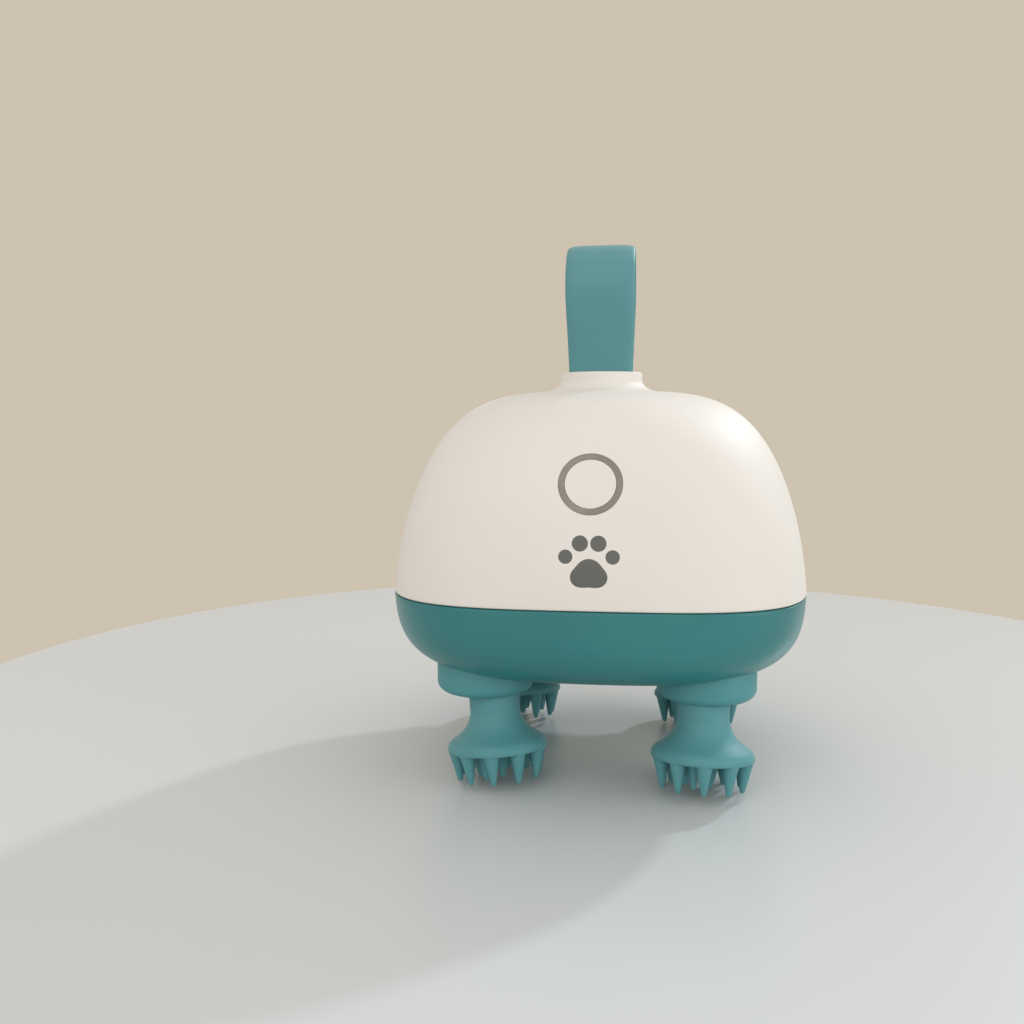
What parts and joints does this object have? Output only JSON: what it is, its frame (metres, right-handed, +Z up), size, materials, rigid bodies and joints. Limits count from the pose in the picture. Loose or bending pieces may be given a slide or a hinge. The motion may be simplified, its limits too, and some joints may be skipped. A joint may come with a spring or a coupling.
{
  "type": "electric pet massager",
  "caption": "Hand-held domed massager with soft finger strap, front push button and leaning silicone kneading heads on turning discs under the body.",
  "frame": {"origin": "on the table under the middle of the body, at the level of the claw tips that the device stands on", "axes": "+Z up through the strap, -Y towards the power button and mark, +X to the right as seen from the front"},
  "size_m": [0.101, 0.101, 0.1312],
  "materials": {
    "cream_plastic": "gloss moulded",
    "teal_plastic": "gloss moulded",
    "teal_silicone": "satin silicone",
    "disc_plastic": "satin moulded",
    "strap_silicone": "satin silicone",
    "ring_plastic": "satin moulded",
    "mark_print": "printed inlay",
    "seal_rubber": "matte",
    "steel": "plated",
    "bronze": "sintered",
    "gear_plastic": "natural acetal",
    "board": "solder mask",
    "frame_plastic": "moulded",
    "cell_sleeve": "shrink sleeve over a steel can",
    "light_diffuser": "milky",
    "lead_sleeve": "satin"
  },
  "bodies": {
    "housing": {"upper_shell": "cream_plastic", "lower_shell": "teal_plastic", "shell_seal": "seal_rubber", "strap": "strap_silicone", "strap_clamp": "frame_plastic", "button_ring": "ring_plastic", "button_seal": "seal_rubber", "paw_mark": "mark_print", "circuit_board": "board", "switch_body": "frame_plastic", "indicator_lights": "light_diffuser", "charge_socket": "steel", "charge_board": "board", "battery_cell": "cell_sleeve", "battery_cradle": "frame_plastic", "battery_leads": "lead_sleeve", "motor_leads": "lead_sleeve", "charge_leads": "lead_sleeve", "motor_can": "steel", "chassis_plate": "frame_plastic", "axle_pins": "steel", "lower_bushes": "bronze", "upper_bushes": "bronze", "lip_seals": "seal_rubber", "frame_screws": "steel", "case_screws": "steel"},
    "button": {"power_button": "cream_plastic"},
    "plunger": {"switch_plunger": "ring_plastic"},
    "cover": {"port_cover": "cream_plastic"},
    "motor_rotor": {"motor_shaft": "steel", "motor_pinion": "bronze"},
    "first_reduction": {"first_wheel": "gear_plastic", "first_bush": "bronze"},
    "second_reduction": {"second_wheel": "gear_plastic", "second_bush": "bronze"},
    "centre_drive": {"centre_gear": "gear_plastic", "centre_bush": "bronze"},
    "rotor_br": {"output_gear_br": "gear_plastic", "output_shaft_br": "steel", "drive_disc_br": "disc_plastic"},
    "head_br": {"head_core_br": "frame_plastic", "massage_head_br": "teal_silicone"},
    "rotor_bl": {"output_gear_bl": "gear_plastic", "output_shaft_bl": "steel", "drive_disc_bl": "disc_plastic"},
    "head_bl": {"head_core_bl": "frame_plastic", "massage_head_bl": "teal_silicone"},
    "rotor_fl": {"output_gear_fl": "gear_plastic", "output_shaft_fl": "steel", "drive_disc_fl": "disc_plastic"},
    "head_fl": {"head_core_fl": "frame_plastic", "massage_head_fl": "teal_silicone"},
    "rotor_fr": {"output_gear_fr": "gear_plastic", "output_shaft_fr": "steel", "drive_disc_fr": "disc_plastic"},
    "head_fr": {"head_core_fr": "frame_plastic", "massage_head_fr": "teal_silicone"}
  },
  "joints": [
    {"name": "centre_gear_spin", "type": "hinge", "parent": "housing", "child": "centre_drive", "pos_m": [0, 0, 0.0374], "axis": [0, 0, 1], "continuous": true},
    {"name": "second_reduction_spin", "type": "hinge", "parent": "housing", "child": "second_reduction", "pos_m": [0, 0.03, 0.0419], "axis": [0, 0, 1], "continuous": true},
    {"name": "first_reduction_spin", "type": "hinge", "parent": "housing", "child": "first_reduction", "pos_m": [0.00434, 0.01305, 0.0449], "axis": [0, 0, 1], "continuous": true},
    {"name": "motor_spin", "type": "hinge", "parent": "housing", "child": "motor_rotor", "pos_m": [0, 0, 0.0491], "axis": [0, 0, 1], "continuous": true},
    {"name": "drive_br_spin", "type": "hinge", "parent": "housing", "child": "rotor_br", "pos_m": [0.02652, 0.02652, 0.0215], "axis": [0, 0, 1], "continuous": true},
    {"name": "head_br_spin", "type": "hinge", "parent": "rotor_br", "child": "head_br", "pos_m": [0.02652, 0.02082, 0.00803], "axis": [0, 0.1392, 0.9903], "continuous": true},
    {"name": "drive_bl_spin", "type": "hinge", "parent": "housing", "child": "rotor_bl", "pos_m": [-0.02652, 0.02652, 0.0215], "axis": [0, 0, 1], "continuous": true},
    {"name": "head_bl_spin", "type": "hinge", "parent": "rotor_bl", "child": "head_bl", "pos_m": [-0.02457, 0.02117, 0.00803], "axis": [-0.0476, 0.1308, 0.9903], "continuous": true},
    {"name": "drive_fl_spin", "type": "hinge", "parent": "housing", "child": "rotor_fl", "pos_m": [-0.02652, -0.02652, 0.0215], "axis": [0, 0, 1], "continuous": true},
    {"name": "head_fl_spin", "type": "hinge", "parent": "rotor_fl", "child": "head_fl", "pos_m": [-0.02286, -0.03088, 0.00803], "axis": [-0.0895, 0.1066, 0.9903], "continuous": true},
    {"name": "drive_fr_spin", "type": "hinge", "parent": "housing", "child": "rotor_fr", "pos_m": [0.02652, -0.02652, 0.0215], "axis": [0, 0, 1], "continuous": true},
    {"name": "head_fr_spin", "type": "hinge", "parent": "rotor_fr", "child": "head_fr", "pos_m": [0.02553, -0.03212, 0.00803], "axis": [0.0242, 0.1371, 0.9903], "continuous": true},
    {"name": "button_push", "type": "slide", "parent": "housing", "child": "button", "axis": [0, 0.9332, -0.3593], "range_m": [0, 0.0005], "stiffness_N_per_m": 800, "springref_m": -0.0005},
    {"name": "plunger_push", "type": "slide", "parent": "housing", "child": "plunger", "axis": [0, 0.9332, -0.3593], "range_m": [0, 0.0005]},
    {"name": "cover_swing", "type": "hinge", "parent": "housing", "child": "cover", "pos_m": [0, 0.04933, 0.05328], "axis": [-1, 0, 0], "range_deg": [0, 90]}
  ],
  "couplings": [
    {"joint": "second_reduction_spin", "follows": "centre_gear_spin", "ratio": -5},
    {"joint": "first_reduction_spin", "follows": "centre_gear_spin", "ratio": 20},
    {"joint": "motor_spin", "follows": "centre_gear_spin", "ratio": -90},
    {"joint": "drive_br_spin", "follows": "centre_gear_spin", "ratio": -2},
    {"joint": "drive_bl_spin", "follows": "centre_gear_spin", "ratio": -2},
    {"joint": "drive_fl_spin", "follows": "centre_gear_spin", "ratio": -2},
    {"joint": "drive_fr_spin", "follows": "centre_gear_spin", "ratio": -2},
    {"joint": "plunger_push", "follows": "button_push", "ratio": 1}
  ]
}
